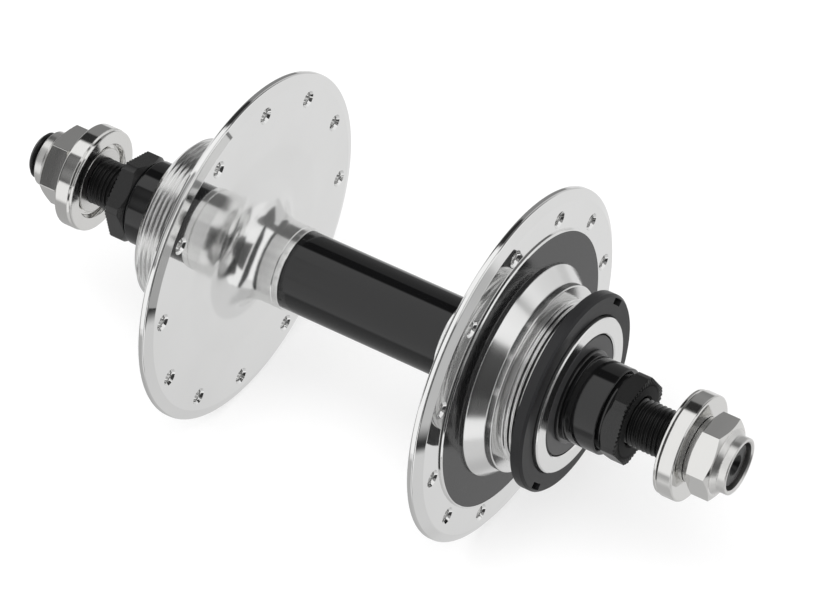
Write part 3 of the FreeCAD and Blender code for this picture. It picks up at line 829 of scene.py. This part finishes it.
class HUB_OT_axle(Operator):
    """The threaded axle, with a centre drilling in each end"""

    bl_idname = "hub.axle"
    bl_label = "Axle"

    def execute(self, context):
        """One long profile from pole to pole, with a screw thread outside each locknut."""
        sizes = context.scene.hub_axle
        radius, pitch = sizes.axle_radius / MM, sizes.axle_pitch / MM
        angles = even_angles(60)
        parts = []
        for side_name, sign in SIDES.items():
            end = AXLE_END[side_name]
            tip = [
                (end - 3.0, 0.0),
                (end - 3.0, 1.1),
                (end - 1.4, 1.1),
                (end, 2.2, 0.1),
                (end, radius - 0.7, 0.15),
                (end - 0.7, radius, 0.15),
                (end - 0.75, radius),
            ]
            places, radii, sharp = profile(tip)
            sharp[-1] = False
            thread = screw(end - 0.75, 58.0, radius, angles, pitch, 0.55, 0.86 * pitch)
            half = [(sign * places, radii, sharp), (sign * thread[0], thread[1], thread[2])]
            parts.append(half if sign < 0 else [tuple(v[::-1] for v in part) for part in half[::-1]])
        places, radii, sharp = stacked(parts[0] + parts[1], len(angles))
        skin = Skin()
        skin.grid(about_axle(places, radii, angles, 1), sharp_rows=sharp)
        add_piece("threaded_axle", skin.mesh("threaded_axle"), "axle_set", ["axle"], "black_axle_steel")
        return {"FINISHED"}


class HUB_OT_covers(Operator):
    """The dark disc in each end of the shell"""

    bl_idname = "hub.covers"
    bl_label = "Dust Covers"

    def execute(self, context):
        back = COVER["outer"] - COVER["thickness"]
        corners = [
            (back, COVER["seat"]),
            (back, COVER["radius"]),
            (COVER["outer"], COVER["radius"], 0.3),
            (COVER["outer"], COVER["seat"]),
        ]
        for side_name, side in SIDES.items():
            name = side_name + "_dust_disc"
            data = turned(name, corners, side)
            add_piece(name, data, "axle_set", [side_name + "_dust_cover"], "grey_cover")
        return {"FINISHED"}


class HUB_OT_end_caps(Operator):
    """The gloss black caps between the bearings and the locknuts"""

    bl_idname = "hub.end_caps"
    bl_label = "End Caps"

    def execute(self, context):
        radius = context.scene.hub_axle.cap_radius / MM
        cap, bore = CAP, context.scene.hub_axle.axle_radius / MM + 0.05
        corners = [
            (45.0, bore),
            (45.0, 6.85),
            (45.35, 6.85),
            (45.35, COVER["seat"] - 0.01),
            (COVER["outer"], COVER["seat"] - 0.01),
            (COVER["outer"], cap["flange"]),
            (cap["flange_end"], cap["flange"], 0.3),
            (cap["flange_end"], radius),
            (cap["line"] - cap["line_size"], radius),
            (cap["line"], radius - cap["line_size"]),
            (cap["line"] + cap["line_size"], radius),
            (cap["neck_at"], radius, 0.3),
            (cap["neck_at"], cap["neck"]),
            (cap["end"], cap["neck"]),
            (cap["end"], bore),
        ]
        for side_name, side in SIDES.items():
            name = side_name + "_cap_sleeve"
            data = turned(name, corners, side)
            add_piece(name, data, "axle_set", [side_name + "_end_cap"], "black_gloss_cap")
        return {"FINISHED"}


class HUB_OT_locknuts(Operator):
    """The thin locknuts, with teeth round their outer faces"""

    bl_idname = "hub.locknuts"
    bl_label = "Locknuts"

    def execute(self, context):
        """A hexagonal bar whose ends are cones, and whose face sinks in a V at every tooth gap."""
        sizes, nut = context.scene.hub_axle, LOCKNUT
        flats, teeth = sizes.locknut_flats / MM, sizes.locknut_teeth
        half = math.acos(flats / 2 / nut["corner"])
        for side_name, side in SIDES.items():
            corners = math.radians(LOCKNUT_ANGLE[side_name]) + np.arange(6) * math.pi / 3
            spread = math.pi / 6 - half
            beside_corners = (corners[:, None] + [-spread, spread]).reshape(-1)
            angles = np.concatenate([even_angles(teeth * 4), beside_corners])
            angles = np.unique(np.round(angles % (2 * math.pi), 7))
            outline = hexagon_radii(angles, flats, nut["corner"], LOCKNUT_ANGLE[side_name])

            def cone(start, length, face_radius):
                return start + length * np.maximum(outline - face_radius, 0) / (nut["corner"] - face_radius)

            rings = [
                (nut["back"], nut["bore"]),
                (nut["back"], nut["back_radius"]),
                (cone(nut["back"], nut["back_chamfer"], nut["back_radius"]), outline),
                (cone(nut["face"], -nut["face_chamfer"], nut["face_radius"]), outline),
                (nut["face"], np.minimum(nut["face_radius"], outline - 0.02)),
                (nut["face"], 0.5 * (nut["face_radius"] + nut["teeth_from"])),
                (nut["face"], nut["teeth_from"] + 0.02),
                (nut["face"], nut["teeth_from"]),
                (nut["face"], nut["bore"] + nut["bore_chamfer"]),
                (nut["face"] - nut["bore_chamfer"], nut["bore"]),
            ]
            places = np.stack([np.broadcast_to(p, angles.shape) for p, _ in rings]).astype(float)
            radii = np.stack([np.broadcast_to(r, angles.shape) for _, r in rings]).astype(float)
            step = 2 * math.pi / teeth
            off = np.abs((angles + step / 2) % step - step / 2)
            gap = np.clip(1 - off * radii[3:7] / (nut["tooth_width"] / 2), 0, 1)
            places[3:7] -= nut["tooth_depth"] * gap
            sharp = np.array([True, True, True, True, True, False, True, True, True, True])
            skin = Skin()
            skin.grid(about_axle(places, radii, angles, side), round_rows=True, sharp_rows=sharp)
            name = side_name + "_toothed_locknut"
            data = skin.mesh(name)
            add_piece(name, data, "axle_set", [side_name + "_locknut"], "black_locknut")
        return {"FINISHED"}


class HUB_OT_washers(Operator):
    """The thick captive washers"""

    bl_idname = "hub.washers"
    bl_label = "Washers"

    def execute(self, context):
        radius = context.scene.hub_axle.washer_radius / MM
        ring = WASHER
        for side_name, side in SIDES.items():
            start = WASHER_AT[side_name]
            end, lip = start + ring["thickness"], start + ring["lip_width"]
            line = ring["line"]
            corners = [
                (start, ring["recess"], 0.15),
                (start, ring["lip"], 0.2),
                (lip, ring["lip"], 0.05),
                (lip + line, ring["lip"] - line),
                (lip + 2 * line, radius - 0.2, 0.05),
                (lip + 2 * line + 0.2, radius, 0.15),
                (end, radius, 0.45),
                (end, ring["bore"], 0.1),
                (start + ring["depth"], ring["bore"], 0.1),
                (start + ring["depth"], ring["recess"] - 0.4, 0.3),
            ]
            name = side_name + "_captive_washer_ring"
            data = turned(name, corners, side)
            add_piece(name, data, side_name + "_captive_washer", [side_name + "_washer"], "bright_washer")
        return {"FINISHED"}


class HUB_OT_track_nuts(Operator):
    """The bright axle nuts"""

    bl_idname = "hub.track_nuts"
    bl_label = "Axle Nuts"

    def execute(self, context):
        """Rings from the bore round the flared neck to the hexagon, its cone and its boss, and back."""
        flats, nut = context.scene.hub_axle.nut_flats / MM, NUT
        for side_name, side in SIDES.items():
            start = WASHER_AT[side_name] + nut["flare_at"]
            collar = WASHER_AT[side_name] + WASHER["thickness"] + nut["play"]
            hexagon = collar + nut["collar_width"]
            hex_end = hexagon + nut["hex_length"]
            boss = hex_end + nut["cone"]
            end = boss + nut["boss_length"]
            angles = hexagon_angles(flats, nut["corner"], NUT_ANGLE[side_name], 15)
            outline = hexagon_radii(angles, flats, nut["corner"], NUT_ANGLE[side_name])
            climb = nut["chamfer"] * (outline - nut["face_radius"]) / (nut["corner"] - nut["face_radius"])
            neck = profile(
                [
                    (start, nut["bore"]),
                    (start, nut["flare"], 0.18),
                    (start + nut["flare_width"], nut["flare"], 0.18),
                    (start + nut["flare_width"], nut["neck"]),
                    (collar, nut["neck"]),
                    (collar, nut["collar"]),
                    (hexagon, nut["collar"]),
                    (hexagon, nut["face_radius"]),
                ]
            )
            neck[2][[0, -1]] = True
            bar_places = np.stack([hexagon + climb, hex_end - climb])
            bar = (bar_places, np.stack([outline, outline]), np.array([True, True]))
            nose = profile(
                [
                    (hex_end, nut["face_radius"]),
                    (hex_end, nut["collar"], 0.1),
                    (boss, nut["boss"], 0.6),
                    (end, nut["boss"], 0.4),
                    (end, nut["bore"] + nut["bore_chamfer"], 0.08),
                    (end - nut["bore_chamfer"], nut["bore"]),
                ]
            )
            nose[2][[0, -1]] = True
            places, radii, sharp = stacked([neck, bar, nose], len(angles))
            skin = Skin()
            skin.grid(about_axle(places, radii, angles, side), round_rows=True, sharp_rows=sharp)
            name = side_name + "_hexagon_nut"
            data = skin.mesh(name)
            add_piece(name, data, side_name + "_axle_nut", [side_name + "_track_nut"], "bright_nut")
        return {"FINISHED"}


class HUB_OT_bearings(Operator):
    """Finishes of the bearings and the spacer inside the shell"""

    bl_idname = "hub.bearings"
    bl_label = "Bearings"

    def execute(self, context):
        finishes = {
            "bearing_outer_ring": "bearing_steel",
            "bearing_inner_ring": "bearing_steel",
            "bearing_balls": "bearing_balls",
            "bearing_cage": "cage_plastic",
            "bearing_inner_seal": "seal_rubber",
            "bearing_outer_seal": "seal_rubber",
        }
        for side_name in SIDES:
            for part, name in finishes.items():
                dress(side_name + "_" + part, finish(name))
        dress("bearing_spacer", finish("plain_aluminium"))
        return {"FINISHED"}


# The studio


# What the hub's bright surfaces mirror, on the sphere round it. Each card has a level, the width of
# its soft edge as a share of the sphere's radius, and corners in degrees about the axle from +Z
# towards -X and in degrees along it towards +Y. Later cards lie over earlier ones.
ROOM = 0.79
CARDS = {
    "floor": (0.67, 0.12, [(146, -75), (146, 75), (-142, 75), (-142, -75)]),
    "floor_far": (0.52, 0.25, [(150, -16), (150, 60), (-165, 60), (-165, -16)]),
    "floor_behind": (0.45, 0.06, [(122, 15), (122, 60), (-145, 60), (-145, 15)]),
    "window": (1.0, 0.03, [(-21.5, 0), (-21.5, 89), (118, 89), (118, 0), (118, -89), (-21.5, -89)]),
    "hood": (0.05, 0.06, [(-25, -16), (10, -6), (60, -3), (110, -6), (150, -16), (150, -89), (-25, -89)]),
    "window_low": (0.95, 0.015, [(a, -23.1) for a in range(-25, 160, 25)] + [(150, -89), (-25, -89)]),
    "flare_shade": (0.1, 0.05, [(29, -28), (52, -28), (76, -28), (101, -28), (101, -60), (29, -62)]),
    "wall": (0.62, 0.12, [(-108, -15), (-108, 60), (-45, 60), (-45, -15)]),
    "wall_high": (0.25, 0.06, [(-103, 15), (-103, 60), (-45, 60), (-45, 15)]),
    "wall_front": (0.9, 0.1, [(-85, -33), (-15, -33), (-15, -62), (-85, -62)]),
    "strip": (0.155, 0.05, [(-54, -33), (-45, 8), (-52, 60), (-23.5, 60), (-23.5, -33)]),
    "strip_foot": (0.18, 0.05, [(-58, -28), (-22, -28), (-29, -45), (-40, -50)]),
    "strip_wing": (0.155, 0.06, [(-90, -18), (-50, -2), (-38, -2), (-38, -36), (-55, -34)]),
    "strip_top": (0.03, 0.06, [(-50, 14), (-50, 60), (-26, 60), (-26, 14)]),
    "flag": (
        0.04,
        0.06,
        [(12, -60.6), (39, -57.3), (83, -56.3), (109, -47.4), (121.5, -43.3), (-155, -48.5), (-90, -86.6)],
    ),
    "flag_pole": (0.3, 0.08, [(a, -66) for a in range(-180, 180, 40)]),
    "flag_low": (0.55, 0.12, [(150, -60), (-170, -57), (-120, -57), (-80, -66), (-80, -88), (120, -88)]),
    "far_flag": (0.08, 0.06, [(12, 24.5), (40, 24.5), (75, 24.5), (100, 50), (100, 76), (12, 76)]),
}


def direction(angle, rise):
    """Unit vector at an angle about the axle from +Z towards -X and a rise towards +Y, both in degrees."""
    angle, rise = math.radians(angle), math.radians(rise)
    return Vector((-math.sin(angle) * math.cos(rise), math.sin(rise), math.cos(angle) * math.cos(rise)))


def card_mask(tree, way, soft, corners):
    """1 inside a card and 0 outside it.

    The card's edges are great circles through neighbouring corners. Each edge gives a smooth step
    of the sight line's component along the normal of the circle's plane, and the steps are multiplied.
    """
    points = [direction(*corner) for corner in corners]
    middle = sum(points, Vector())
    mask = None
    for here, there in zip(points, points[1:] + points[:1]):
        normal = here.cross(there).normalized()
        if normal.dot(middle) < 0:
            normal.negate()
        along = tree.nodes.new("ShaderNodeVectorMath")
        along.operation = "DOT_PRODUCT"
        along.inputs[1].default_value = normal
        tree.links.new(way, along.inputs[0])
        step = tree.nodes.new("ShaderNodeMapRange")
        step.interpolation_type = "SMOOTHSTEP"
        step.inputs["From Min"].default_value = -soft / 2
        step.inputs["From Max"].default_value = soft / 2
        tree.links.new(along.outputs["Value"], step.inputs["Value"])
        mask = math_node(tree, "MULTIPLY", mask, step.outputs["Result"]) if mask else step.outputs["Result"]
    return mask


class HUB_OT_stage(Operator):
    """Pale floor, soft light and the camera at the photograph's angle"""

    bl_idname = "hub.stage"
    bl_label = "Stage"

    def execute(self, context):
        settings = context.scene.hub_stage
        low = min(corner[2] for corner in CAD_BOX)
        self.floor(settings, low)
        self.sky(settings)
        self.lamp("key", (-0.5, -0.1, 1.1), 1.2, settings.key)
        self.camera()
        context.scene.view_settings.view_transform = "Standard"
        return {"FINISHED"}

    def floor(self, settings, height):
        """A square at the hub's lowest point, a mix of white glow and shaded paper to the camera.

        Mirrors look through it at the floor cards of the studio.
        """
        half = settings.floor_size / 2
        data = bpy.data.meshes.new("floor")
        data.from_pydata(
            [(-half, -half, height), (half, -half, height), (half, half, height), (-half, half, height)],
            [],
            [(0, 1, 2, 3)],
        )
        floor = bpy.data.objects.new("floor", data)
        bpy.context.scene.collection.objects.link(floor)
        material, tree, shader = new_material("floor_paper")
        shader.inputs["Roughness"].default_value = 0.9
        shader.inputs["Specular IOR Level"].default_value = 0.0
        path = tree.nodes.new("ShaderNodeLightPath")
        seen = tree.nodes.new("ShaderNodeMix")
        seen.data_type = "RGBA"
        seen.inputs["A"].default_value = (*settings.floor_colour, 1)
        seen.inputs["B"].default_value = (1, 1, 1, 1)
        tree.links.new(path.outputs["Is Camera Ray"], seen.inputs["Factor"])
        tree.links.new(seen.outputs["Result"], shader.inputs["Base Color"])
        through = tree.nodes.new("ShaderNodeBsdfTransparent")
        either = tree.nodes.new("ShaderNodeMixShader")
        mirror = mirror_rays(tree, path)
        tree.links.new(mirror, either.inputs["Fac"])
        glow = tree.nodes.new("ShaderNodeEmission")
        paper = tree.nodes.new("ShaderNodeMixShader")
        plain = math_node(tree, "MULTIPLY", path.outputs["Is Camera Ray"], 1 - settings.shadow)
        tree.links.new(plain, paper.inputs["Fac"])
        tree.links.new(shader.outputs["BSDF"], paper.inputs[1])
        tree.links.new(glow.outputs["Emission"], paper.inputs[2])
        tree.links.new(paper.outputs["Shader"], either.inputs[1])
        tree.links.new(through.outputs["BSDF"], either.inputs[2])
        output = next(node for node in tree.nodes if node.type == "OUTPUT_MATERIAL")
        tree.links.new(either.outputs["Shader"], output.inputs["Surface"])
        data.materials.append(material)

    def sky(self, settings):
        """White to the camera, even grey as light, and the studio's cards to mirrors."""
        world = bpy.data.worlds.new("studio")
        bpy.context.scene.world = world
        world.use_nodes = True
        tree = world.node_tree
        tree.nodes.clear()
        output = tree.nodes.new("ShaderNodeOutputWorld")
        background = tree.nodes.new("ShaderNodeBackground")
        tree.links.new(background.outputs[0], output.inputs["Surface"])
        place = tree.nodes.new("ShaderNodeTexCoord")
        room = None
        for level, soft, corners in CARDS.values():
            card = tree.nodes.new("ShaderNodeMix")
            card.inputs["A"].default_value = ROOM
            card.inputs["B"].default_value = level
            if room:
                tree.links.new(room, card.inputs["A"])
            tree.links.new(card_mask(tree, place.outputs["Generated"], soft, corners), card.inputs["Factor"])
            room = card.outputs["Result"]
        path = tree.nodes.new("ShaderNodeLightPath")
        mirror = mirror_rays(tree, path)
        lit = tree.nodes.new("ShaderNodeMix")
        lit.inputs["A"].default_value = settings.sky
        tree.links.new(mirror, lit.inputs["Factor"])
        tree.links.new(room, lit.inputs["B"])
        seen = tree.nodes.new("ShaderNodeMix")
        seen.inputs["B"].default_value = 1.0
        tree.links.new(path.outputs["Is Camera Ray"], seen.inputs["Factor"])
        tree.links.new(lit.outputs["Result"], seen.inputs["A"])
        tree.links.new(seen.outputs["Result"], background.inputs["Color"])

    def lamp(self, name, place, size, power):
        """A square area lamp that faces the hub."""
        light = bpy.data.lights.new(name, "AREA")
        light.shape = "SQUARE"
        light.size = size
        light.energy = power
        lamp = bpy.data.objects.new(name, light)
        lamp.location = place
        lamp.rotation_euler = (-Vector(place)).to_track_quat("-Z", "Y").to_euler()
        lamp.visible_glossy = False
        bpy.context.scene.collection.objects.link(lamp)

    def camera(self):
        """Place, turn and lens found from the circular edges of the hub in the photograph."""
        data = bpy.data.cameras.new("camera")
        data.lens = 202.612
        data.sensor_width = 36
        data.clip_start = 0.01
        camera = bpy.data.objects.new("camera", data)
        camera.location = (-0.54338435, -0.35115624, 0.64689926)
        camera.rotation_euler = (math.radians(45.1068), 0, math.radians(-57.6654))
        bpy.context.scene.collection.objects.link(camera)
        bpy.context.scene.camera = camera


class HUB_PT_panel(Panel):
    """Buttons and sizes of the track hub"""

    bl_label = "Track Hub"
    bl_idname = "HUB_PT_panel"
    bl_space_type = "VIEW_3D"
    bl_region_type = "UI"
    bl_category = "Track Hub"

    def draw(self, context):
        for operator in OPERATORS:
            self.layout.operator(operator.bl_idname)
        for name in GROUPS:
            group = getattr(context.scene, name)
            box = self.layout.box()
            for label in group.bl_rna.properties.keys():
                if label not in ("rna_type", "name"):
                    box.prop(group, label)


GROUPS = {
    "hub_shell": HubShellSizes,
    "hub_axle": HubAxleSizes,
    "hub_finishes": HubFinishes,
    "hub_stage": HubStage,
}
OPERATORS = [
    HUB_OT_flanges, HUB_OT_tube, HUB_OT_trim, HUB_OT_lockring, HUB_OT_axle, HUB_OT_covers, HUB_OT_end_caps,
    HUB_OT_locknuts, HUB_OT_washers, HUB_OT_track_nuts, HUB_OT_bearings, HUB_OT_stage,
]
CLASSES = [*GROUPS.values(), *OPERATORS, HUB_PT_panel]


def register():
    for cls in CLASSES:
        bpy.utils.register_class(cls)
    for name, cls in GROUPS.items():
        setattr(bpy.types.Scene, name, PointerProperty(type=cls))


def unregister():
    for name in GROUPS:
        delattr(bpy.types.Scene, name)
    for cls in reversed(CLASSES):
        bpy.utils.unregister_class(cls)


def main():
    register()
    for operator in OPERATORS:
        group, name = operator.bl_idname.split(".")
        getattr(getattr(bpy.ops, group), name)()


if __name__ == "__main__":
    main()
